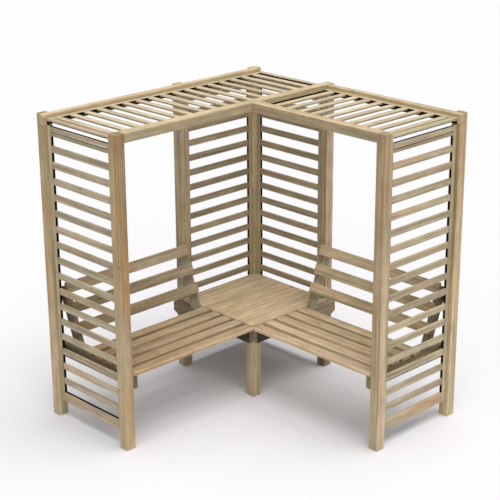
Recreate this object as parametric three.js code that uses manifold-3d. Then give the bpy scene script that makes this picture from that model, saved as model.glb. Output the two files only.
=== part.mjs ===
// Corner arbour seat: an L-shaped timber shelter with slatted walls and a slatted roof, a bench with a
// sloping backrest in each wing, and a boarded corner between the benches.
// Millimetres, +Z up, origin on the ground at the middle of the square that the two wings span.
// In a wing, u runs from the outer corner towards the wing's end and v from its back to its front.

import * as THREE from 'three';
import { mergeVertices } from 'three/addons/utils/BufferGeometryUtils.js';
import Module from 'manifold-3d';

const wasm = await Module();
wasm.setup();

// Driving sizes of the whole shelter
const wingLength = 1900;
const wingDepth = 778;
const beamTop = 2078;
const seatTop = 532;
const fitGap = 0.3;

// Posts and the short leg under the inner corner
const postWidth = 70;
const postRound = 5;

// Roof beams, and the ledge at the back of a rear post that stands behind its beam
const rearBeamThickness = 45;
const rearBeamHeight = 66;
const rearBeamDrop = 4;
const frontBeamThickness = 70;
const frontBeamHeight = 61;
const beamRound = 3;

// Ladder panels of the walls and the roof
const panelThickness = 20;
const railWidth = 35;
const footBoardWidth = 70;
const slatWidth = 45;
const slatThickness = 12;
const slatGap = 61.2;
const slatHousing = 10;
const slatSetback = 0.5;
const closingSlot = 11;
const narrowestSlat = 15;
const wallFoot = 110;
const wallHeadDrop = 75;
const roofPanelDrop = 28;
const roofLeadGap = 13.5;

// Seat boards and the boarded corner
const boardThickness = 28;
const boardWidth = 72;
const boardRound = 3;
const boardsPerWing = 5;
const seatRearEdge = 282;
const seatOverhang = 14;
const boardEndGap = 8;
const deckBoards = 10;
const deckBoardGap = 1.2;
const deckRearClearance = 12;
const cornerBoardGap = 2;

// Bearers under the boards
const bearerThickness = 35;
const bearerHeight = 90;
const bearerChamferLength = 40;
const bearerChamferHeight = 20;

// Backrests: slope is the lean backwards for each unit of height
const backSlope = 0.38;
const backHeight = 412.5;
const backClearance = 30;
const backBoards = 3;
const backBoardWidth = 72;
const backBoardThickness = 22;
const backBoardPitch = 136.5;
const uprightWidth = 70;
const uprightThickness = 35;
const uprightShortfall = 20;

// Places worked out from the sizes above
const rearBeamBack = postWidth - rearBeamThickness;
const rearBeamTop = beamTop - rearBeamDrop;
const rearBeamFoot = rearBeamTop - rearBeamHeight;
const frontBeamFoot = beamTop - frontBeamHeight;
const wallHead = beamTop - wallHeadDrop;
const endPostInner = wingLength - postWidth;
const frontPostBack = wingDepth - postWidth;
const frontBeamBack = wingDepth - frontBeamThickness;
const panelBack = (postWidth - panelThickness) / 2;
const panelFront = panelBack + panelThickness;
const boardUnderside = seatTop - boardThickness;
const bearerUnderside = boardUnderside - bearerHeight;
const roofPanelTop = beamTop - roofPanelDrop;
const seatFrontEdge = wingDepth + seatOverhang;

const up = new THREE.Vector3(0, 0, 1);
const left = { name: 'left', along: new THREE.Vector3(0, -1, 0), out: new THREE.Vector3(1, 0, 0) };
const right = { name: 'right', along: new THREE.Vector3(1, 0, 0), out: new THREE.Vector3(0, -1, 0) };

const arbour = new THREE.Group();
arbour.position.set(-wingLength / 2, wingLength / 2, 0);

// Finishes

function timber(color) {
  return new THREE.MeshStandardMaterial({ color, roughness: 0.8, metalness: 0 });
}

const finishes = {
  post: timber('#a98d6a'),
  beam: timber('#b79b74'),
  panel: timber('#a89a78'),
  board: timber('#b8a077'),
  bearer: timber('#9c8763'),
};

// Shapes and solids

function roundedRectangle(x0, y0, x1, y1, radius) {
  const shape = new THREE.Shape();
  shape.absarc(x1 - radius, y1 - radius, radius, 0, Math.PI / 2);
  shape.absarc(x0 + radius, y1 - radius, radius, Math.PI / 2, Math.PI);
  shape.absarc(x0 + radius, y0 + radius, radius, Math.PI, 3 * Math.PI / 2);
  shape.absarc(x1 - radius, y0 + radius, radius, 3 * Math.PI / 2, 2 * Math.PI);
  shape.closePath();
  return shape;
}

function toPoint([x, y]) {
  return new THREE.Vector2(x, y);
}

function outline(points) {
  return new THREE.Shape(points.map(toPoint));
}

function prism(shape, depth) {
  return new THREE.ExtrudeGeometry(shape, { depth, bevelEnabled: false, curveSegments: 2 });
}

function boxBetween(low, high) {
  const size = high.clone().sub(low);
  const box = new THREE.BoxGeometry(size.x, size.y, size.z);
  return box.translate(low.x + size.x / 2, low.y + size.y / 2, low.z + size.z / 2);
}

function toSolid(geometry) {
  const bare = geometry.index ? geometry.toNonIndexed() : geometry.clone();
  bare.deleteAttribute('normal');
  bare.deleteAttribute('uv');
  const merged = mergeVertices(bare);
  return new wasm.Manifold(new wasm.Mesh({
    numProp: 3,
    vertProperties: new Float32Array(merged.attributes.position.array),
    triVerts: new Uint32Array(merged.index.array),
  }));
}

function toGeometry(solid) {
  const mesh = solid.getMesh();
  const geometry = new THREE.BufferGeometry();
  geometry.setAttribute('position', new THREE.BufferAttribute(new Float32Array(mesh.vertProperties), 3));
  geometry.setIndex(new THREE.BufferAttribute(new Uint32Array(mesh.triVerts), 1));
  geometry.computeVertexNormals();
  return geometry;
}

function add(name, geometry, finish) {
  const mesh = new THREE.Mesh(geometry, finish);
  mesh.name = name;
  arbour.add(mesh);
  return mesh;
}

// A piece with the same section all along a wing, from u = start to u = end
function addAlong(name, wing, section, start, end, finish) {
  const mesh = add(name, prism(section, end - start), finish);
  const turn = new THREE.Vector3().crossVectors(wing.out, up);
  const origin = wing.along.clone().multiplyScalar(turn.dot(wing.along) > 0 ? start : end);
  mesh.applyMatrix4(new THREE.Matrix4().makeBasis(wing.out, up, turn).setPosition(origin));
  return mesh;
}

// Posts: x and y are the corner of the post nearest to the outer corner of the shelter

function addPost(name, x, y, height, rebate) {
  let geometry = prism(roundedRectangle(x, y - postWidth, x + postWidth, y, postRound), height);
  if (rebate) {
    geometry = toGeometry(toSolid(geometry).subtract(toSolid(rebate)));
  }
  add(name, geometry, finishes.post);
}

function rebateBox(x0, y0, x1, y1, floor) {
  const low = new THREE.Vector3(x0, y0, floor - fitGap);
  return boxBetween(low, new THREE.Vector3(x1, y1, beamTop + postWidth));
}

function addPosts() {
  const back = rearBeamBack - fitGap;
  const past = wingLength + postWidth;
  const atCorner = rebateBox(back, -past, past, -back, rearBeamFoot);
  const leftRear = rebateBox(back, -past, past, past, rearBeamFoot);
  const rightRear = rebateBox(-past, -past, past, -back, rearBeamFoot);
  const underCrossing = rebateBox(-past, -past, past, -back, frontBeamFoot);
  addPost('post_corner', 0, 0, beamTop, atCorner);
  addPost('post_left_middle', 0, -frontPostBack, beamTop, leftRear);
  addPost('post_left_end_rear', 0, -endPostInner, beamTop, leftRear);
  addPost('post_left_end_front', frontPostBack, -endPostInner, beamTop);
  addPost('post_right_middle', frontPostBack, 0, beamTop, underCrossing);
  addPost('post_right_end_rear', endPostInner, 0, beamTop, rightRear);
  addPost('post_right_end_front', endPostInner, -frontPostBack, beamTop);
  addPost('leg_inner_corner', frontPostBack, -frontPostBack, boardUnderside - fitGap);
}

// Roof beams: the left front beam runs on across the corner to the right wing's middle post

function addBeams() {
  const rear = roundedRectangle(rearBeamBack, rearBeamFoot, postWidth, rearBeamTop, beamRound);
  const front = roundedRectangle(frontBeamBack, frontBeamFoot, wingDepth, beamTop, beamRound);
  addAlong('beam_left_rear', left, rear, rearBeamBack, wingLength, finishes.beam);
  addAlong('beam_right_rear', right, rear, wingDepth + fitGap, wingLength, finishes.beam);
  addAlong('beam_left_front', left, front, rearBeamBack, endPostInner - fitGap, finishes.beam);
  addAlong('beam_right_front', right, front, wingDepth + fitGap, endPostInner - fitGap, finishes.beam);
}

// Ladder panel lying at the origin: x across, y along from its first rail, slats let into the stiles just
// under its upper face. The slats start at a given gap from the first rail, and a last one is ripped narrow
// if it has room.

function ladderFrame(width, length, nearRail, farRail) {
  const inner = width - railWidth;
  const end = length - farRail;
  const opening = [[inner, end], [inner, nearRail], [railWidth, nearRail], [railWidth, end]];
  if (farRail > 0) {
    const closed = outline([[0, 0], [width, 0], [width, length], [0, length]]);
    closed.holes.push(new THREE.Path(opening.map(toPoint)));
    return toSolid(prism(closed, panelThickness));
  }
  return toSolid(prism(outline([[0, 0], [width, 0], [width, end], ...opening, [0, end]]), panelThickness));
}

function ladderPanel(width, length, nearRail, leadGap, farRail) {
  const face = panelThickness - slatSetback;
  const start = railWidth - slatHousing;
  const slat = (from, to) => toSolid(boxBetween(
    new THREE.Vector3(start, from, face - slatThickness),
    new THREE.Vector3(width - start, to, face),
  ));
  const room = length - farRail;
  let panel = ladderFrame(width, length, nearRail, farRail);
  let place = nearRail + leadGap;
  while (place + slatWidth <= room) {
    panel = panel.add(slat(place, place + slatWidth));
    place += slatWidth + slatGap;
  }
  if (room - closingSlot - place > narrowestSlat) {
    panel = panel.add(slat(place, room - closingSlot));
  }
  return toGeometry(panel);
}

function addPanel(name, geometry, across, length, face, origin) {
  const mesh = add(name, geometry, finishes.panel);
  mesh.applyMatrix4(new THREE.Matrix4().makeBasis(across, length, face).setPosition(origin));
}

function addWallPanels() {
  const width = frontPostBack - postWidth - 2 * fitGap;
  const near = postWidth + fitGap;
  const far = frontPostBack - fitGap;
  const wall = ladderPanel(width, wallHead - wallFoot, footBoardWidth, slatGap, railWidth);
  const place = (x, y) => new THREE.Vector3(x, y, wallFoot);
  const endFace = wingLength - panelBack;
  const toRight = right.along;
  const toBack = left.along.clone().negate();
  addPanel('panel_left_end', wall, toRight, up, left.along, place(near, panelThickness - endFace));
  addPanel('panel_right_end', wall, toBack, up, toRight, place(endFace - panelThickness, -far));
  addPanel('panel_left_back', wall, toBack, up, toRight, place(panelBack, -far));
  addPanel('panel_right_back', wall, toRight, up, left.along, place(near, -panelBack));
}

function addRoofPanels() {
  const width = frontBeamBack - postWidth - 2 * fitGap;
  const near = postWidth + fitGap;
  const far = frontBeamBack - fitGap;
  const endFace = wingLength - panelBack;
  const base = roofPanelTop - panelThickness;
  const toBack = left.along.clone().negate();
  const toLeft = right.along.clone().negate();
  const whole = ladderPanel(width, endFace, railWidth, roofLeadGap, railWidth);
  const short = ladderPanel(width, endFace - wingDepth - fitGap, railWidth, roofLeadGap, 0);
  addPanel('roof_panel_left', whole, right.along, toBack, up, new THREE.Vector3(near, -endFace, base));
  addPanel('roof_panel_right', short, toBack, toLeft, up, new THREE.Vector3(endFace, -far, base));
}

// Bearers: side pieces run from the back to the front of a wing, the deck's two run across the corner

function sideBearerOutline() {
  return outline([
    [0, bearerUnderside + bearerChamferHeight],
    [bearerChamferLength, bearerUnderside],
    [wingDepth, bearerUnderside],
    [wingDepth, boardUnderside - fitGap],
    [0, boardUnderside - fitGap],
  ]);
}

function addBearers() {
  for (const wing of [left, right]) {
    const start = wingDepth + fitGap;
    const end = endPostInner - fitGap;
    const side = sideBearerOutline();
    addAlong(`bearer_${wing.name}_inner`, wing, side, start, start + bearerThickness, finishes.bearer);
    addAlong(`bearer_${wing.name}_end`, wing, side, end - bearerThickness, end, finishes.bearer);
  }
  const start = panelFront + fitGap;
  const deckTop = boardUnderside - fitGap;
  const across = (v) => outline([
    [v, bearerUnderside],
    [v + bearerThickness, bearerUnderside],
    [v + bearerThickness, deckTop],
    [v, deckTop],
  ]);
  const rearDeck = postWidth + fitGap;
  const frontDeck = frontPostBack - fitGap - bearerThickness;
  addAlong('bearer_deck_rear', right, across(rearDeck), start, wingDepth, finishes.bearer);
  addAlong('bearer_deck_front', right, across(frontDeck), start, wingDepth, finishes.bearer);
}

// Seat boards along each wing; the right wing's front board stops short of the left wing's

function addSeatBoards() {
  const gap = (seatFrontEdge - seatRearEdge - boardsPerWing * boardWidth) / (boardsPerWing - 1);
  for (const wing of [left, right]) {
    for (let i = 0; i < boardsPerWing; i += 1) {
      const v = seatRearEdge + i * (boardWidth + gap);
      const section = roundedRectangle(v, boardUnderside, v + boardWidth, seatTop, boardRound);
      const meetsOther = wing === right && i === boardsPerWing - 1;
      const start = meetsOther ? seatFrontEdge + cornerBoardGap : wingDepth + boardEndGap;
      const end = endPostInner - fitGap;
      addAlong(`seat_board_${wing.name}_${i + 1}`, wing, section, start, end, finishes.board);
    }
  }
}

// Corner deck: boards side by side from the left wall to the right wing, notched round the posts

function postClearance(x, y) {
  const grow = fitGap;
  return toSolid(boxBetween(
    new THREE.Vector3(x - grow, y - postWidth - grow, 0),
    new THREE.Vector3(x + postWidth + grow, y + grow, beamTop),
  ));
}

function addDeck() {
  const start = panelFront + deckRearClearance;
  const pitch = (wingDepth - start) / deckBoards;
  const notches = postClearance(0, 0).add(postClearance(0, -frontPostBack));
  for (let i = 0; i < deckBoards; i += 1) {
    const v = start + i * pitch;
    const section = roundedRectangle(v, boardUnderside, v + pitch - deckBoardGap, seatTop, boardRound);
    const meetsPost = v + pitch / 2 > frontPostBack;
    const rearEnd = meetsPost ? postWidth + fitGap : start;
    const board = addAlong(`deck_board_${i + 1}`, left, section, rearEnd, wingDepth, finishes.board);
    if (v < postWidth) {
      board.updateMatrix();
      const toBoard = board.matrix.clone().invert();
      board.geometry = toGeometry(toSolid(board.geometry).subtract(notches.transform(toBoard.elements)));
    }
  }
}

// Backrests: two uprights stand on the bearers and lean against the posts, with boards across their fronts

function backFront(z) {
  return seatRearEdge - backClearance - backSlope * (z - seatTop);
}

function addBackrests() {
  const foot = boardUnderside;
  const boardsHead = seatTop + backHeight;
  const top = boardsHead - uprightShortfall;
  const slant = Math.hypot(1, backSlope);
  const upright = outline([
    [backFront(foot) - uprightWidth * slant, foot],
    [backFront(foot), foot],
    [backFront(top), top],
    [backFront(top) - uprightWidth / slant, top - uprightWidth * backSlope / slant],
  ]);
  const lift = fitGap * slant;
  const boardSection = (i) => {
    const head = boardsHead - i * backBoardPitch / slant;
    const toe = head - backBoardWidth / slant;
    const outV = backBoardThickness / slant;
    const outZ = backBoardThickness * backSlope / slant;
    return outline([
      [backFront(toe) + lift, toe],
      [backFront(toe) + lift + outV, toe + outZ],
      [backFront(head) + lift + outV, head + outZ],
      [backFront(head) + lift, head],
    ]);
  };
  for (const wing of [left, right]) {
    const start = wingDepth + fitGap;
    const end = endPostInner - fitGap;
    const startFace = start + uprightThickness;
    addAlong(`back_upright_${wing.name}_inner`, wing, upright, start, startFace, finishes.bearer);
    addAlong(`back_upright_${wing.name}_end`, wing, upright, end - uprightThickness, end, finishes.bearer);
    for (let i = 0; i < backBoards; i += 1) {
      addAlong(`back_board_${wing.name}_${i + 1}`, wing, boardSection(i), wingDepth, end, finishes.board);
    }
  }
}

addPosts();
addBeams();
addWallPanels();
addRoofPanels();
addBearers();
addSeatBoards();
addDeck();
addBackrests();

export default arbour;
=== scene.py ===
import math
import random

import bmesh
import bpy
from mathutils import Matrix, Vector


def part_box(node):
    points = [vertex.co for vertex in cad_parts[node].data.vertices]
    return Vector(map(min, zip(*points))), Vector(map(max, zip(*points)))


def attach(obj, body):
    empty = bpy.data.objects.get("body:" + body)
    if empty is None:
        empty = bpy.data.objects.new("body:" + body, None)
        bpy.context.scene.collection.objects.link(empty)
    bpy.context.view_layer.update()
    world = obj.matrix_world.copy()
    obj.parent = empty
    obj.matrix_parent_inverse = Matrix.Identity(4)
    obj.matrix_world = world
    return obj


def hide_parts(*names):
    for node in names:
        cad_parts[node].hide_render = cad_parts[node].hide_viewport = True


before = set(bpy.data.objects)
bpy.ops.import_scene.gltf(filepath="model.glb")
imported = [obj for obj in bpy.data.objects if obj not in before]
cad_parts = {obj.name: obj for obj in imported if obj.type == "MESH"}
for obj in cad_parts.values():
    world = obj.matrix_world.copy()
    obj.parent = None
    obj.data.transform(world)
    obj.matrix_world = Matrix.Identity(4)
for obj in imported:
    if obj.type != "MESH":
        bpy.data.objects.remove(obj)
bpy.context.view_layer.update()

# Posts
# Eight planed softwood posts, 70 mm square with eased arrises, pressure treated to a pale green
# brown. The rear ones are rebated at the head, so that a ledge stands behind the roof beam. The
# short one is the inner leg.

X, Y, Z = range(3)
TO_RIGHT, TO_FRONT, UP = (1, 0, 0), (0, -1, 0), (0, 0, 1)
FAR = 9.0

# How fast each cloud of the wood's pattern changes along and across the grain, per metre, then
# its detail and its roughness
CLOUDS = {
    "wander": (1.7, 5.0, 2.0, 0.5),
    "streak": (4.0, 210.0, 4.0, 0.6),
    "stripe": (1.3, 55.0, 3.0, 0.55),
    "band": (0.9, 24.0, 2.0, 0.5),
    "patch": (2.6, 11.0, 3.0, 0.5),
    "fibre": (28.0, 950.0, 2.0, 0.5),
    "blotch": (7.0, 17.0, 3.0, 0.6),
}
CLOUD_MEAN = 0.5

# What a pattern does as it grows from its first value to its second: the effect at each of them
RAMPS = {
    "most knots are left out": (0.25, 0.35, 0.0, 0.3),
    "a knot bends the rings": (0.03, 0.22, 0.009, 0.0),
    "a knot is brown": (0.02, 0.085, 0.6, 0.0),
    "a ring ends in late wood": (0.22, 0.5, 0.0, 1.0),
    "a streak is late wood": (0.42, 0.75, 0.0, 0.6),
    "a stripe is late wood": (0.46, 0.7, 0.0, 0.65),
    "a band is olive": (0.42, 0.66, 0.0, 1.0),
    "a patch is warm": (0.4, 0.68, 0.0, 1.0),
    "a fibre is lighter": (0.2, 0.8, 0.93, 1.07),
    "a stripe is darker": (0.3, 0.7, 1.08, 0.92),
    "a blotch is darker": (0.34, 0.66, 1.1, 0.9),
    "a streak is rougher": (0.3, 0.7, 0.62, 0.8),
}
KNOTS_ALONG, KNOTS_ACROSS = 6.0, 6.5
WANDER = 0.034
RINGS_PER_METRE = 250.0
HALF_RING = 0.5
RING_CONTRAST = 0.5
GOLDEN_LOSS = (1.1, 1.4, 1.75)
RELIEF_DEPTH = 0.0006
RELIEF_STRENGTH = 0.35
RING_RELIEF, FIBRE_RELIEF = 0.4, 0.6
WOOD_SHINE = 0.3
FIRST_COLOUR, SECOND_COLOUR, BLENDED_COLOUR = 6, 7, 2


def linear(*shades):
    """A colour as it is seen, 0 to 255, as the light it gives back."""
    return tuple(((s / 255 + 0.055) / 1.055) ** 2.4 for s in shades) + (1.0,)


KNOT_BROWN = linear(116, 82, 48)


def step(tree, kind, feeds=(), **settings):
    """One step of a finish. A feed is a value, or what an earlier step gives."""
    made = tree.nodes.new("ShaderNode" + kind)
    for setting, value in settings.items():
        setattr(made, setting, value)
    for socket, value in dict(feeds).items():
        if isinstance(value, bpy.types.NodeSocket):
            tree.links.new(value, made.inputs[socket])
        else:
            made.inputs[socket].default_value = value
    return made


def pine(name, pale, late_wood, olive, warm, shine=WOOD_SHINE):
    """Treated softwood: rings round a pith line, streaks along the grain, knots and stains."""
    finish = bpy.data.materials.new(name)
    finish.use_nodes = True
    tree = finish.node_tree
    tree.nodes.clear()

    def attribute(layer, output):
        return step(tree, "Attribute", attribute_name=layer).outputs[output]

    def parts(vector):
        return step(tree, "SeparateXYZ", {0: vector}).outputs

    def sums(operation, *terms):
        return step(tree, "Math", dict(enumerate(terms)), operation=operation).outputs[0]

    def stretched(along, across):
        feeds = {"Vector": grain, "Scale": (along, across, across)}
        return step(tree, "Mapping", feeds).outputs[0]

    def cloud(pattern):
        along, across, detail, roughness = CLOUDS[pattern]
        feeds = {"Vector": stretched(along, across), "Scale": 1.0, "Detail": detail,
                 "Roughness": roughness}
        return step(tree, "TexNoise", feeds).outputs["Fac"]

    def ramp(value, effect):
        low, high, to_low, to_high = RAMPS[effect]
        feeds = {"Value": value, "From Min": low, "From Max": high, "To Min": to_low,
                 "To Max": to_high}
        return step(tree, "MapRange", feeds, interpolation_type="SMOOTHSTEP").outputs[0]

    def blend(share, first, second, way="MIX"):
        feeds = {0: share, FIRST_COLOUR: first, SECOND_COLOUR: second}
        return step(tree, "Mix", feeds, data_type="RGBA", blend_type=way).outputs[BLENDED_COLOUR]

    grain = attribute("grain", "Vector")
    place = parts(grain)
    lightness, olive_share, warm_share = parts(attribute("tint", "Vector"))
    shade = attribute("shade", "Fac")
    darkening = attribute("darkening", "Fac")

    # Knots push the rings aside
    spread = {"Vector": stretched(KNOTS_ALONG, KNOTS_ACROSS), "Scale": 1.0, "Randomness": 1.0}
    knots = step(tree, "TexVoronoi", spread)
    knot_pick = parts(knots.outputs["Color"])[X]
    left_out = ramp(knot_pick, "most knots are left out")
    knot_near = sums("ADD", knots.outputs["Distance"], left_out)
    bend = ramp(knot_near, "a knot bends the rings")

    wander = sums("MULTIPLY", sums("SUBTRACT", cloud("wander"), CLOUD_MEAN), WANDER)
    aside = sums("ADD", place[Y], wander)
    squares = [sums("MULTIPLY", part, part) for part in (aside, place[Z])]
    from_pith = sums("SQRT", sums("ADD", *squares))
    ring = sums("PINGPONG", sums("MULTIPLY", sums("ADD", from_pith, bend), RINGS_PER_METRE),
                HALF_RING)
    late = ramp(ring, "a ring ends in late wood")
    streak, stripe, fibre = cloud("streak"), cloud("stripe"), cloud("fibre")

    colour = blend(sums("MULTIPLY", late, RING_CONTRAST), pale, late_wood)
    colour = blend(ramp(streak, "a streak is late wood"), colour, late_wood)
    colour = blend(ramp(stripe, "a stripe is late wood"), colour, late_wood)
    olive_here = sums("MULTIPLY", ramp(cloud("band"), "a band is olive"), olive_share)
    colour = blend(olive_here, colour, olive)
    warm_here = sums("MULTIPLY", ramp(cloud("patch"), "a patch is warm"), warm_share)
    colour = blend(warm_here, colour, warm)
    colour = blend(ramp(knot_near, "a knot is brown"), colour, KNOT_BROWN)

    # The shade attribute darkens end grain, and paints shade into slots, grooves, undersides and
    # other places where shade falls
    light = sums("MULTIPLY", lightness, sums("SUBTRACT", 1.0, shade))
    light = sums("MULTIPLY", light, ramp(fibre, "a fibre is lighter"))
    light = sums("MULTIPLY", light, ramp(stripe, "a stripe is darker"))
    light = sums("MULTIPLY", light, ramp(cloud("blotch"), "a blotch is darker"))
    # The darkening attribute darkens towards gold: painted shade on walls and boards, and a darker
    # head on some posts
    kept = [sums("SUBTRACT", 1.0, sums("MULTIPLY", darkening, loss)) for loss in GOLDEN_LOSS]
    darkened = [sums("MULTIPLY", light, share) for share in kept]
    lit = step(tree, "CombineColor", dict(enumerate(darkened))).outputs[0]

    height = sums("ADD", sums("MULTIPLY", late, RING_RELIEF),
                  sums("MULTIPLY", fibre, FIBRE_RELIEF))
    relief = step(tree, "Bump", {
        "Strength": RELIEF_STRENGTH,
        "Distance": RELIEF_DEPTH,
        "Height": height,
    })
    wood = step(tree, "BsdfPrincipled", {
        "Base Color": blend(1.0, colour, lit, "MULTIPLY"),
        "Roughness": ramp(streak, "a streak is rougher"),
        "Specular IOR Level": shine,
        "Normal": relief.outputs[0],
    })
    step(tree, "OutputMaterial", {0: wood.outputs[0]})
    return finish


SQUARELY = 0.9


def faces_to(stock, direction):
    """The faces of a timber that look squarely one way."""
    return [f for f in stock.faces if f.normal.dot(Vector(direction)) > SQUARELY]


def square_stock(low, high):
    """A squared length of timber between two corners."""
    stock = bmesh.new()
    low, high = Vector(low), Vector(high)
    bmesh.ops.create_cube(stock, size=1.0)
    bmesh.ops.scale(stock, vec=high - low, verts=stock.verts)
    bmesh.ops.translate(stock, vec=(low + high) / 2, verts=stock.verts)
    return stock


def draw_out(stock, faces, way):
    """Lengthens a timber by moving some of its faces outwards."""
    made = bmesh.ops.extrude_face_region(stock, geom=faces)
    moved = [v for v in made["geom"] if isinstance(v, bmesh.types.BMVert)]
    bmesh.ops.translate(stock, vec=way, verts=moved)


FLAT_ANGLE = 0.02


def rebate_head(stock, rise, corner, beam_sides):
    """Raises a ledge on the head of a post, behind the beams that meet at a corner of it.

    A beam's side is the way that the beam lies from the corner."""
    for beam_side in beam_sides:
        head = faces_to(stock, UP)
        around = {part for f in head for part in [*f.edges, *f.verts]}
        bmesh.ops.bisect_plane(stock, geom=[*head, *around], plane_co=corner, plane_no=beam_side)
        stock.normal_update()
    ledge = []
    for f in faces_to(stock, UP):
        from_corner = f.calc_center_median() - corner
        if any(from_corner.dot(Vector(beam_side)) < 0 for beam_side in beam_sides):
            ledge.append(f)
    draw_out(stock, ledge, (0, 0, rise))
    bmesh.ops.dissolve_limit(stock, angle_limit=FLAT_ANGLE, verts=stock.verts, edges=stock.edges)


# A timber's place in its tree: how far along, and how far the pith is to the side and behind
PITH_ALONG, PITH_ASIDE, PITH_BEHIND = (0, 50), (-0.03, 0.03), (0.025, 0.1)

# A look is how light, how olive and how warm a side is
TONES, OLIVE_SHARES, WARM_SHARES = (0.9, 1.1), (0.1, 0.75), (0.0, 0.6)
SIDE_CHANGES = (0.07, 0.25, 0.2)

ACROSS_GRAIN = {X: (Y, Z), Y: (Z, X), Z: (X, Y)}
EASED = 0.004
ARRIS_ANGLE = 0.5
END_FACING = 0.8
END_GRAIN_SHADE = 0.12


def plane_up(stock, run, draw, eased=EASED, tones=TONES, stains_and_shading=None):
    """Eases the arrises and gives the timber its own place in a tree, its looks and its end grain.

    The grain runs along one axis. Stains and shading name the sides whose look is known: real
    stains, and on some sides painted light or painted shade."""
    stock.normal_update()
    arrises = [e for e in stock.edges if e.is_convex and e.calc_face_angle(0) > ARRIS_ANGLE]
    rounds = bmesh.ops.bevel(stock, geom=arrises, offset=eased, segments=2, profile=0.5,
                             affect="EDGES", material=-1, clamp_overlap=True)
    for f in rounds["faces"]:
        f.smooth = True
    stock.normal_update()
    grain = stock.verts.layers.float_vector.new("grain")
    stock.verts.layers.float.new("darkening")
    tint = stock.faces.layers.float_vector.new("tint")
    shade = stock.faces.layers.float.new("shade")

    middle = sum((v.co for v in stock.verts), Vector()) / len(stock.verts)
    aside, behind = ACROSS_GRAIN[run]
    pith = Vector((draw.uniform(*PITH_ALONG), draw.uniform(*PITH_ASIDE),
                   draw.choice((-1, 1)) * draw.uniform(*PITH_BEHIND)))
    look = Vector((draw.uniform(*tones), draw.uniform(*OLIVE_SHARES), draw.uniform(*WARM_SHARES)))
    looks = dict(stains_and_shading or {})
    for v in stock.verts:
        local = v.co - middle
        v[grain] = Vector((local[run], local[aside], local[behind])) + pith
    # A rebate leaves the sides of a post in no fixed order, so its foot is drawn for first
    for f in sorted(stock.faces, key=lambda face: run == Z and face.normal.z > -SQUARELY):
        side = tuple(round(part) for part in f.normal)
        if side not in looks:
            looks[side] = look + Vector([draw.uniform(-most, most) for most in SIDE_CHANGES])
        f[tint] = Vector(looks[side])
        if abs(f.normal[run]) > END_FACING:
            f[shade] = END_GRAIN_SHADE


DARK_FINISH = 1


def dim(stock, direction, low, high, depth=None):
    """Darkens the part of a side that lies between two corners, where little light gets to.

    With no depth, no light gets there, and it takes the dark finish that the piece has second."""
    for corner in (low, high):
        for axis in Matrix.Identity(3):
            whole = [*stock.verts, *stock.edges, *stock.faces]
            bmesh.ops.bisect_plane(stock, geom=whole, plane_co=corner, plane_no=axis)
    stock.normal_update()
    shade = stock.faces.layers.float["shade"]
    for f in faces_to(stock, direction):
        middle = f.calc_center_median()
        if all(low[axis] < middle[axis] < high[axis] for axis in (X, Y, Z)):
            if depth is None:
                f.material_index = DARK_FINISH
            else:
                f[shade] = depth


def darken_along(stock, axis, first, last):
    """Darkens a timber towards gold, by a share that changes evenly from end to end."""
    darkening = stock.verts.layers.float["darkening"]
    places = [v.co[axis] for v in stock.verts]
    start, reach = min(places), max(places) - min(places)
    for v in stock.verts:
        v[darkening] = first + (last - first) * (v.co[axis] - start) / reach


# Painted shade on faces that look down, and a painted highlight on upper arrises, as if lit from
# above
UNDERSIDE_FACING = -0.5
UNDERSIDE_SHADE = 0.3
UPPER_ARRIS_FACING = 0.3
PAINTED_ARRIS_HIGHLIGHT = 1.18


def lay_in(piece, stock, place=Matrix.Identity(4)):
    """Puts a timber in its place in a piece.

    Its undersides get painted shade, and its upper arrises a painted highlight."""
    bmesh.ops.transform(stock, matrix=place, verts=stock.verts)
    stock.normal_update()
    shade = stock.faces.layers.float["shade"]
    tint = stock.faces.layers.float_vector["tint"]
    for f in stock.faces:
        if f.normal.z < UNDERSIDE_FACING:
            f[shade] = max(f[shade], UNDERSIDE_SHADE)
        if f.smooth and f.normal.z > UPPER_ARRIS_FACING:
            f[tint] = f[tint] * PAINTED_ARRIS_HIGHLIGHT
    held = bpy.data.meshes.new("held")
    stock.to_mesh(held)
    stock.free()
    piece.from_mesh(held)
    bpy.data.meshes.remove(held)


def finish_piece(piece, name, node, slot, *finishes):
    """Makes a piece the object that stands for its node."""
    mesh = bpy.data.meshes.new(name)
    piece.to_mesh(mesh)
    piece.free()
    for finish in finishes:
        mesh.materials.append(finish)
    obj = bpy.data.objects.new(name, mesh)
    bpy.context.scene.collection.objects.link(obj)
    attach(obj, "root")
    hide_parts(node)


def single_timber(node, stock, slot, *finishes, place=Matrix.Identity(4)):
    """A piece of one timber, put in its place and finished."""
    piece = bmesh.new()
    lay_in(piece, stock, place)
    finish_piece(piece, node + "_timber", node, slot, *finishes)


post_wood = pine("post_wood", linear(212, 193, 161), linear(168, 143, 106),
                 linear(160, 152, 114), linear(204, 166, 118))

LEDGE = 0.0247
REAR_BEAM_HEIGHT = 0.0703
FRONT_BEAM_HEIGHT = 0.0613
UNDER_SEAT = 0.42
FOOT_SHADE = 0.4
BROWN_FACE = (0.87, 0.15, 0.9)
OLIVE_FACE = (1.15, 0.5, 0.15)
# Painted light: the corner post's sides lightened, as if more light reached the inner corner
GREY_PAINTED_LIGHT_FACE = (1.2, 0.35, 0.0)
WARM_FACE = (1.06, 0.3, 0.4)
DULL_FACE = (0.95, 0.45, 0.1)
PALE_FACE = (1.04, 0.2, 0.1)
SHADY_FACE = (0.8, 0.6, 0.1)
DIM_FACE = (0.71, 0.55, 0.15)

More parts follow.
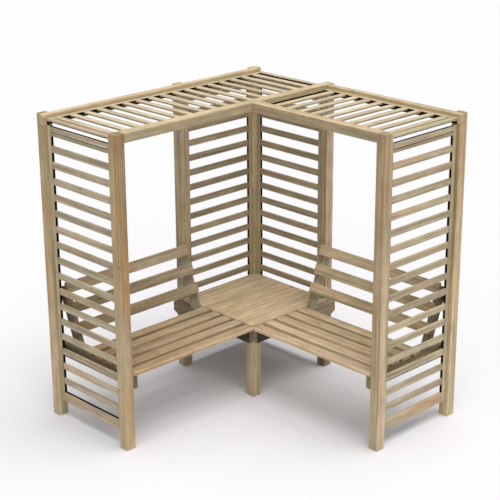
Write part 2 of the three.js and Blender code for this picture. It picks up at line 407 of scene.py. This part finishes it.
# The height of the beam on each post's ledge, and the sides of the ledge that beams lie on
POST_HEADS = {
    "post_corner": (REAR_BEAM_HEIGHT, (TO_RIGHT, TO_FRONT)),
    "post_left_middle": (REAR_BEAM_HEIGHT, (TO_RIGHT,)),
    "post_left_end_rear": (REAR_BEAM_HEIGHT, (TO_RIGHT,)),
    "post_right_middle": (FRONT_BEAM_HEIGHT, (TO_FRONT,)),
    "post_right_end_rear": (REAR_BEAM_HEIGHT, (TO_FRONT,)),
    "post_left_end_front": (0, ()),
    "post_right_end_front": (0, ()),
    "leg_inner_corner": (0, ()),
}
# Posts darker towards the head, by this share at the top
POST_DARKENING = {
    "post_left_end_front": 0.31,
    "post_right_end_front": 0.2,
    "post_left_end_rear": 0.24,
    "post_right_end_rear": 0.27,
}
# Stains of some sides; the corner post's grey face is painted light
POST_STAINS_AND_SHADING = {
    "post_left_end_front": {TO_RIGHT: BROWN_FACE, TO_FRONT: WARM_FACE},
    "post_right_end_front": {TO_FRONT: BROWN_FACE, TO_RIGHT: PALE_FACE},
    "post_right_end_rear": {TO_RIGHT: OLIVE_FACE},
    "post_corner": {TO_RIGHT: GREY_PAINTED_LIGHT_FACE, TO_FRONT: GREY_PAINTED_LIGHT_FACE},
    "post_left_middle": {TO_RIGHT: SHADY_FACE, TO_FRONT: SHADY_FACE},
    "post_right_middle": {TO_FRONT: DIM_FACE},
    "leg_inner_corner": {TO_RIGHT: DULL_FACE, TO_FRONT: DULL_FACE},
}

for node, (beam_height, beam_sides) in POST_HEADS.items():
    low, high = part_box(node)
    post = square_stock(low, high - Vector((0, 0, beam_height)))
    if beam_sides:
        back_corner = Vector((low.x + LEDGE, high.y - LEDGE, high.z))
        rebate_head(post, beam_height, back_corner, beam_sides)
    plane_up(post, Z, random.Random(node), stains_and_shading=POST_STAINS_AND_SHADING.get(node))
    darken_along(post, Z, 0, POST_DARKENING.get(node, 0))
    if node == "post_right_middle":
        for direction in (TO_RIGHT, TO_FRONT):
            dim(post, direction, (-FAR, -FAR, 0), (FAR, FAR, UNDER_SEAT), FOOT_SHADE)
    single_timber(node, post, "post", post_wood)

# Roof beams
# Planed lengths that tie the posts' heads together: deeper, thinner ones let into the rear posts,
# and stout ones butted between the front posts. The left front one runs on across the corner.

BEAM_RUNS = {
    "beam_left_rear": Y,
    "beam_left_front": Y,
    "beam_right_rear": X,
    "beam_right_front": X,
}
BEAM_EASED = 0.003
SLOT_LIP = 0.006
FRONT_BEAM_STAINS = {TO_RIGHT: (0.82, 0.4, 0.25), TO_FRONT: (0.74, 0.5, 0.4)}
# Painted light: the rear beams' seen sides kept light, as if lit like their tops
REAR_BEAM_PAINTED_LIGHT = {TO_RIGHT: (1.0, 0.35, 0.2), TO_FRONT: (1.06, 0.3, 0.2)}

beam_wood = pine("beam_wood", linear(207, 189, 156), linear(166, 142, 104),
                 linear(160, 151, 112), linear(198, 170, 134))
# Painted shade: a near-black finish for faces in narrow slots, where shade falls
painted_slot_shade = pine("painted_slot_shade", linear(42, 28, 12), linear(30, 20, 9),
                  linear(34, 26, 11), linear(40, 26, 12), shine=0.0)

left_end, right_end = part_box("panel_left_end"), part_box("panel_right_end")
left_roof, right_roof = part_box("roof_panel_left"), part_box("roof_panel_right")
# Painted shade: the parts of the beams' sides under and beside the roof panels, seen through its
# slots, take the near-black finish
in_slots = {
    "beam_left_rear": (TO_RIGHT, (-FAR, left_end[0].y, 0), (FAR, FAR, left_roof[0].z)),
    "beam_right_rear": (TO_FRONT, (-FAR, -FAR, 0), (right_end[1].x, FAR, right_roof[0].z)),
    "beam_left_front": (TO_RIGHT, (-FAR, right_roof[0].y, right_roof[0].z),
                        (FAR, FAR, right_roof[1].z - SLOT_LIP)),
}

for node, run in BEAM_RUNS.items():
    beam = square_stock(*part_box(node))
    stains_and_shading = REAR_BEAM_PAINTED_LIGHT if "rear" in node else FRONT_BEAM_STAINS
    plane_up(beam, run, random.Random(node), BEAM_EASED, stains_and_shading=stains_and_shading)
    if node in in_slots:
        dim(beam, *in_slots[node])
    single_timber(node, beam, "beam", beam_wood, painted_slot_shade)

# Ladder panels
# The walls and the roof are frames of thin stiles and rails with planed slats let in flush with
# the seen face. Slats of one width are set out evenly from the foot board or the first rail, and
# the last is ripped to fit.

TO_LEFT, TO_BACK = (-1, 0, 0), (0, 1, 0)
RAIL_WIDTH = 0.035
FOOT_BOARD_WIDTH = 0.070
SLAT_WIDTH = 0.045
SLAT_THICKNESS = 0.012
SLAT_GAP = 0.0612
ROOF_LEAD_GAP = 0.0135
SLAT_SETBACK = 0.0005
CLOSING_SLOT = 0.004
NARROWEST_SLAT = 0.015
HEAD_RISE = 0.0265
PANEL_EASED = 0.0025
JOINT = 0.0003

BROWN_BOARD = (0.93, 0.1, 1.1)
SHADED_SIDE = (0.74, 0.3, 0.5)
LIT_TOP = (1.07, 0.25, 0.15)
# Painted shade: the ripped slat under the head rail darker
SHADED_RIPPED_SLAT = (0.74, 0.5, 0.5)
STILE_FACE = (0.96, 0.4, 0.1)
PANEL_TONES = {
    "panel_left_end": (0.75, 0.97),
    "panel_left_back": (0.66, 0.88),
    "panel_right_back": (0.69, 0.91),
    "panel_right_end": (0.82, 1.06),
    "roof_panel_left": (0.84, 1.08),
    "roof_panel_right": (0.9, 1.12),
}
# Painted shade: walls darker towards their heads under the roof, by this share at the top
PANEL_PAINTED_SHADE = {
    "panel_left_back": 0.15,
    "panel_right_back": 0.16,
    "panel_right_end": 0.12,
}

# Ways in a panel's own plane
TO_FIRST_STILE, TO_LAST_STILE = (-1, 0, 0), (1, 0, 0)
TO_FIRST_RAIL, TO_LAST_RAIL = (0, -1, 0), (0, 1, 0)
SEEN_FACE = (0, 0, 1)

panel_wood = pine("panel_wood", linear(208, 195, 166), linear(158, 140, 107),
                  linear(148, 145, 110), linear(200, 166, 132))


def blacken(stock, direction):
    """Gives the faces that look one way into a slot, where no light gets to, the dark finish."""
    for f in faces_to(stock, direction):
        f.material_index = DARK_FINISH


def ladder_panel(node, across, along, face, first_rail, lead_gap, last_rail=RAIL_WIDTH,
                 is_roof=False, brown_foot=False, lit_foot=False, rise=0.0):
    """A panel in its own plane: x across, y along from the first rail, z to the seen face."""
    low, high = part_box(node)
    across, along, face = Vector(across), Vector(along), Vector(face)
    ways = across + along + face
    origin = Vector([low[axis] if ways[axis] > 0 else high[axis] for axis in (X, Y, Z)])
    width, length, depth = [abs((high - low).dot(way)) for way in (across, along, face)]
    place = Matrix.Translation(origin) @ Matrix((across, along, face)).transposed().to_4x4()
    draw = random.Random(node)
    piece = bmesh.new()
    darkening = PANEL_PAINTED_SHADE.get(node, 0)

    def fit(corner, far_corner, run, *into_slots, stains_and_shading=None):
        stock = square_stock(corner, far_corner)
        plane_up(stock, run, draw, PANEL_EASED, PANEL_TONES[node], stains_and_shading)
        # Painted shade towards the panel's head
        darken_along(stock, Y, darkening * corner[Y] / length, darkening * far_corner[Y] / length)
        for direction in into_slots:
            if is_roof and direction == TO_FIRST_RAIL:
                dark_up_to = depth - SLOT_LIP if corner[Y] > 0 else SLOT_LIP
                dim(stock, direction, (-FAR, -FAR, -FAR), (FAR, FAR, dark_up_to))
            else:
                blacken(stock, direction)
        lay_in(piece, stock, place)

    # Stiles
    inner = width - RAIL_WIDTH
    stile_stains = {SEEN_FACE: STILE_FACE}
    fit((0, 0, 0), (RAIL_WIDTH, length, depth), Y, TO_LAST_STILE, stains_and_shading=stile_stains)
    fit((inner, 0, 0), (width, length, depth), Y, TO_FIRST_STILE, stains_and_shading=stile_stains)

    # Foot board or first rail, and last rail
    rail_start, rail_stop = RAIL_WIDTH + JOINT, inner - JOINT
    room = length - last_rail
    first_slots = (TO_FIRST_RAIL,) if lit_foot else (TO_LAST_RAIL, TO_FIRST_RAIL)
    first_stains = {SEEN_FACE: BROWN_BOARD} if brown_foot else None
    fit((rail_start, 0, 0), (rail_stop, first_rail, depth), X, *first_slots, stains_and_shading=first_stains)
    if last_rail:
        last_slots = (TO_FIRST_RAIL,) if is_roof else (TO_FIRST_RAIL, TO_LAST_RAIL)
        fit((rail_start, room, 0), (rail_stop, length + rise, depth), X, *last_slots)

    # Slats, the last one ripped to the width that is left
    # Painted light and shade: roof slats' tops lighter and their front sides darker
    roof_slat_light_and_shade = {TO_FIRST_RAIL: SHADED_SIDE, SEEN_FACE: LIT_TOP} if is_roof else None
    last_slat_light_and_shade = roof_slat_light_and_shade or {SEEN_FACE: SHADED_RIPPED_SLAT}
    top = depth - SLAT_SETBACK
    bottom = top - SLAT_THICKNESS
    at = first_rail + lead_gap
    while at + SLAT_WIDTH <= room:
        fit((RAIL_WIDTH, at, bottom), (inner, at + SLAT_WIDTH, top), X, stains_and_shading=roof_slat_light_and_shade)
        at += SLAT_WIDTH + SLAT_GAP
    ripped_to = room - CLOSING_SLOT
    if ripped_to - at > NARROWEST_SLAT:
        fit((RAIL_WIDTH, at, bottom), (inner, ripped_to, top), X, TO_LAST_RAIL, stains_and_shading=last_slat_light_and_shade)
    finish_piece(piece, node + "_timbers", node, "panel", panel_wood, painted_slot_shade)


ladder_panel("panel_left_end", TO_RIGHT, UP, TO_FRONT, FOOT_BOARD_WIDTH, SLAT_GAP,
             brown_foot=True)
ladder_panel("panel_right_end", TO_BACK, UP, TO_RIGHT, FOOT_BOARD_WIDTH, SLAT_GAP,
             brown_foot=True, lit_foot=True)
ladder_panel("panel_left_back", TO_BACK, UP, TO_RIGHT, FOOT_BOARD_WIDTH, SLAT_GAP)
ladder_panel("panel_right_back", TO_RIGHT, UP, TO_FRONT, FOOT_BOARD_WIDTH, SLAT_GAP,
             rise=HEAD_RISE)
ladder_panel("roof_panel_left", TO_RIGHT, TO_BACK, UP, RAIL_WIDTH, ROOF_LEAD_GAP,
             is_roof=True)
ladder_panel("roof_panel_right", TO_BACK, TO_LEFT, UP, RAIL_WIDTH, ROOF_LEAD_GAP,
             last_rail=0, is_roof=True)

# Bearers
# Rough lengths on edge under the boards, one at each end of a bench with its rear lower corner
# taken off, and two across the corner under the deck. They are screwed to the posts' sides.

CHAMFER_LENGTH = 0.040
CHAMFER_HEIGHT = 0.020
BEARER_EASED = 0.002
# Painted shade: the left wing's bearers darker, in the shade under the seat
LEFT_BEARER_SHADED_TONES = (0.6, 0.7)
BEARER_TONES = (0.95, 1.05)
BEARER_SHADE = 0.8
SHADE_REACH = 0.16

bearer_wood = pine("bearer_wood", linear(164, 149, 122), linear(124, 107, 80),
                   linear(126, 120, 92), linear(152, 128, 100))
leg_low, leg_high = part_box("leg_inner_corner")


def shaped_stock(outline, thickness):
    """Timber of one outline all through, from its first face along the thickness."""
    stock = bmesh.new()
    first_face = stock.faces.new([stock.verts.new(point) for point in outline])
    draw_out(stock, [first_face], thickness)
    bmesh.ops.recalc_face_normals(stock, faces=stock.faces)
    return stock


for node in [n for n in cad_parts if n.startswith("bearer_")]:
    low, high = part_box(node)
    run = X if high.x - low.x > high.y - low.y else Y
    chamfer_top = low.z + CHAMFER_HEIGHT
    if "deck" in node:
        bearer = square_stock(low, high)
    elif "left" in node:
        bearer = shaped_stock([
            (low.x, low.y, chamfer_top), (low.x + CHAMFER_LENGTH, low.y, low.z),
            (high.x, low.y, low.z), (high.x, low.y, high.z), (low.x, low.y, high.z)],
            (0, high.y - low.y, 0))
    else:
        bearer = shaped_stock([
            (low.x, high.y, chamfer_top), (low.x, high.y - CHAMFER_LENGTH, low.z),
            (low.x, low.y, low.z), (low.x, low.y, high.z), (low.x, high.y, high.z)],
            (high.x - low.x, 0, 0))
    tones = LEFT_BEARER_SHADED_TONES if "left" in node else BEARER_TONES
    plane_up(bearer, run, random.Random(node), BEARER_EASED, tones)
    if node == "bearer_left_inner":
        near_leg = (leg_low.x - SHADE_REACH, -FAR, 0)
        dim(bearer, TO_FRONT, near_leg, (FAR, FAR, FAR), BEARER_SHADE)
    if node == "bearer_right_inner":
        near_leg = (FAR, leg_high.y + SHADE_REACH, FAR)
        dim(bearer, TO_RIGHT, (-FAR, -FAR, 0), near_leg, BEARER_SHADE)
    single_timber(node, bearer, "bearer", bearer_wood)

# Seat boards and corner deck
# Planed boards with rounded edges, five along each bench with gaps between them, and ten close
# together over the corner, the first one notched round the two posts that it meets.

BOARD_EASED = 0.0045
DECK_EASED = 0.002
# Painted light: the deck's tones raised, as if more light reached the inner corner
DECK_PAINTED_LIGHT_TONES = (1.08, 1.22)
LEFT_SEAT_TONES = (0.84, 0.98)
RIGHT_SEAT_TONES = (0.96, 1.1)
# Painted shade: the left seat boards darker towards the left end wall
LEFT_SEAT_PAINTED_SHADE = 0.28
FRONT_EDGE = (1.2, 0.35, 0.15)
GROOVE_SHADE = 0.2
POST_CLEARANCE = 0.0003

board_wood = pine("board_wood", linear(213, 192, 160), linear(166, 140, 105),
                  linear(163, 152, 116), linear(207, 170, 134))
notch_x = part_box("post_left_middle")[1].x + POST_CLEARANCE
notch_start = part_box("post_corner")[0].y - POST_CLEARANCE
notch_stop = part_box("post_left_middle")[1].y + POST_CLEARANCE

for node in [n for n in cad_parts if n.startswith(("seat_board_", "deck_board_"))]:
    low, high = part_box(node)
    if node == "deck_board_1":
        board = shaped_stock([
            (notch_x, low.y, low.z), (high.x, low.y, low.z),
            (high.x, high.y, low.z), (notch_x, high.y, low.z),
            (notch_x, notch_start, low.z), (low.x, notch_start, low.z),
            (low.x, notch_stop, low.z), (notch_x, notch_stop, low.z)],
            (0, 0, high.z - low.z))
    else:
        board = square_stock(low, high)
    if node.startswith("deck"):
        plane_up(board, Y, random.Random(node), DECK_EASED, DECK_PAINTED_LIGHT_TONES)
    else:
        left_wing = "_left_" in node
        run, outward = (Y, TO_RIGHT) if left_wing else (X, TO_FRONT)
        tones = LEFT_SEAT_TONES if left_wing else RIGHT_SEAT_TONES
        front_board = node.endswith("_5")
        stains_and_shading = {TO_RIGHT: FRONT_EDGE, TO_FRONT: FRONT_EDGE} if front_board else None
        plane_up(board, run, random.Random(node), BOARD_EASED, tones, stains_and_shading)
        if left_wing:
            darken_along(board, Y, LEFT_SEAT_PAINTED_SHADE, 0)
        if not front_board:
            below_arris = (FAR, FAR, high.z - 2 * BOARD_EASED)
            dim(board, outward, (-FAR, -FAR, 0), below_arris, GROOVE_SHADE)
    single_timber(node, board, "board", board_wood)

# Backrests
# In each wing two uprights stand on the bearers and lean back on the posts, with three boards
# screwed across their fronts. The lean is 38 mm for each 100 mm of height.

LEAN = 0.38
SLANT = math.hypot(1, LEAN)
BACK_BOARD_WIDTH = 0.072
BACK_BOARD_THICKNESS = 0.022
BACK_BOARD_EASED = 0.0025
UPRIGHT_WIDTH = 0.070
UPRIGHT_EASED = 0.002
UPRIGHT_FRONT = (0, 1, 0)
# Painted shade: back boards darker towards the end walls, by these shares at their two ends
LEFT_BACK_PAINTED_SHADE = (0.26, 0)
RIGHT_BACK_PAINTED_SHADE = (0, 0.16)
UNDER_BOARD = 0.045
UNDER_BOARD_SHADE = 0.22
BACK_TONES = {
    "back_board_left": (0.93, 1.07),
    "back_board_right": (1.24, 1.4),
    "back_upright_left_inner": (0.82, 0.92),
    "back_upright_right_inner": (0.96, 1.06),
    # Painted shade: the other uprights much darker, as the boards in front shade them
    "back_upright": (0.54, 0.68),
}

back_wood = pine("back_wood", linear(192, 178, 150), linear(144, 126, 96),
                 linear(140, 135, 102), linear(184, 154, 122))

for node in [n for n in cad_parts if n.startswith("back_")]:
    low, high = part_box(node)
    right_wing = "_right_" in node
    outward = Vector(TO_FRONT if right_wing else TO_RIGHT)
    along = Vector(TO_RIGHT if right_wing else TO_BACK)
    rear = Vector((low.x, high.y if right_wing else low.y, low.z))
    length = abs((high - low).dot(along))
    up_the_slope = (Vector(UP) - outward * LEAN).normalized()
    forwards = (outward + Vector(UP) * LEAN).normalized()
    tones = next(tones for start, tones in BACK_TONES.items() if node.startswith(start))
    if "board" in node:
        slot = "board"
        timber = square_stock((0, 0, 0), (length, BACK_BOARD_WIDTH, BACK_BOARD_THICKNESS))
        plane_up(timber, X, random.Random(node), BACK_BOARD_EASED, tones)
        darken_along(timber, X, *(RIGHT_BACK_PAINTED_SHADE if right_wing else LEFT_BACK_PAINTED_SHADE))
        foot = rear + outward * (LEAN * BACK_BOARD_WIDTH / SLANT)
        lie = Matrix((along, up_the_slope, forwards))
    else:
        slot = "bearer"
        reach = (high.z - low.z) * SLANT
        timber = shaped_stock([
            (0, 0, 0), (reach, 0, 0), (reach, -UPRIGHT_WIDTH, 0),
            (UPRIGHT_WIDTH * LEAN, -UPRIGHT_WIDTH, 0)],
            (0, 0, length))
        plane_up(timber, X, random.Random(node), UPRIGHT_EASED, tones)
        open_side = (0, 0, 1) if right_wing else (0, 0, -1)
        boards = "back_board_right" if right_wing else "back_board_left"
        for board_foot in [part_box(n)[0].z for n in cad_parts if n.startswith(boards)]:
            stop = (board_foot - low.z) * SLANT
            for direction in (UPRIGHT_FRONT, open_side):
                dim(timber, direction, (stop - UNDER_BOARD, -FAR, -FAR), (stop, FAR, FAR),
                    UNDER_BOARD_SHADE)
        foot = rear + outward * abs((high - low).dot(outward))
        lie = Matrix((up_the_slope, forwards, along))
    place = Matrix.Translation(foot) @ lie.transposed().to_4x4()
    single_timber(node, timber, slot, back_wood, place=place)

# Studio
# A pale matt floor that runs into a white surround, and two broad soft lights, one overhead and
# one from the front. The camera stands at the photograph's view.

WHITE = (1, 1, 1, 1)
FLOOR_COLOUR = (0.795, 0.787, 0.81, 1)
FLOOR_GLOW = 0.02
FLOOR_REACH = 60.0
SURROUND_COLOUR = (0.95, 0.98, 1.04, 1)
SURROUND_STRENGTH = 0.24

scene = bpy.context.scene
floor_shape = bmesh.new()
bmesh.ops.create_grid(floor_shape, x_segments=1, y_segments=1, size=FLOOR_REACH)
floor_mesh = bpy.data.meshes.new("studio_floor")
floor_shape.to_mesh(floor_mesh)
floor_shape.free()
studio_floor = bpy.data.objects.new("studio_floor", floor_mesh)
scene.collection.objects.link(studio_floor)

floor_paint = bpy.data.materials.new("floor_paint")
floor_paint.use_nodes = True
tree = floor_paint.node_tree
tree.nodes.clear()
seen = step(tree, "LightPath").outputs["Is Camera Ray"]
glow = step(tree, "Math", {0: seen, 1: FLOOR_GLOW}, operation="MULTIPLY").outputs[0]
matt = step(tree, "BsdfDiffuse", {"Color": FLOOR_COLOUR}).outputs[0]
lift = step(tree, "Emission", {"Color": WHITE, "Strength": glow}).outputs[0]
both = step(tree, "AddShader", {0: matt, 1: lift}).outputs[0]
step(tree, "OutputMaterial", {0: both})
floor_mesh.materials.append(floor_paint)

surround = bpy.data.worlds.new("surround")
surround.use_nodes = True
scene.world = surround
tree = surround.node_tree
tree.nodes.clear()
rays = step(tree, "LightPath").outputs
mirrored = step(tree, "Math", {0: rays["Is Glossy Ray"], 1: rays["Is Transmission Ray"]},
                operation="MAXIMUM").outputs[0]
seen = step(tree, "Math", {0: rays["Is Camera Ray"], 1: mirrored}, operation="MAXIMUM").outputs[0]
soft = step(tree, "Background", {"Color": SURROUND_COLOUR, "Strength": SURROUND_STRENGTH})
white = step(tree, "Background", {"Color": WHITE, "Strength": 1.0})
either = step(tree, "MixShader", {0: seen, 1: soft.outputs[0], 2: white.outputs[0]}).outputs[0]
step(tree, "OutputWorld", {0: either})

# Each light's strength, its spread and its turn, both in degrees
LIGHTS = {"overhead_light": (2.6, 53, (-4, 11, 0)), "front_light": (0.9, 60, (50, 0, 45))}
LIGHT_COLOUR = (1.0, 0.99, 0.97)

for name, (strength, spread, turn) in LIGHTS.items():
    lamp = bpy.data.lights.new(name, "SUN")
    lamp.energy = strength
    lamp.angle = math.radians(spread)
    lamp.color = LIGHT_COLOUR
    hung = bpy.data.objects.new(name, lamp)
    scene.collection.objects.link(hung)
    hung.rotation_euler = [math.radians(angle) for angle in turn]

SENSOR_WIDTH = 36
FOCAL_LENGTH = 100.81
FARTHEST_SEEN = 200
EYE = Vector((6.0997, -5.9044, 4.2321))
AZIMUTH, DIP, ROLL = math.radians(46.031), math.radians(19.859), math.radians(-0.343)

level = Vector((math.cos(AZIMUTH), math.sin(AZIMUTH), 0))
ahead = Vector((-math.sin(AZIMUTH) * math.cos(DIP), math.cos(AZIMUTH) * math.cos(DIP),
                -math.sin(DIP)))
below = ahead.cross(level)
sideways = level * math.cos(ROLL) - below * math.sin(ROLL)
downwards = level * math.sin(ROLL) + below * math.cos(ROLL)

lens = bpy.data.cameras.new("photo_view")
lens.sensor_width = SENSOR_WIDTH
lens.lens = FOCAL_LENGTH
lens.clip_end = FARTHEST_SEEN
eye = bpy.data.objects.new("photo_view", lens)
scene.collection.objects.link(eye)
turned = Matrix((sideways, -downwards, -ahead)).transposed().to_4x4()
eye.matrix_world = Matrix.Translation(EYE) @ turned
scene.camera = eye
scene.view_settings.view_transform = "Standard"
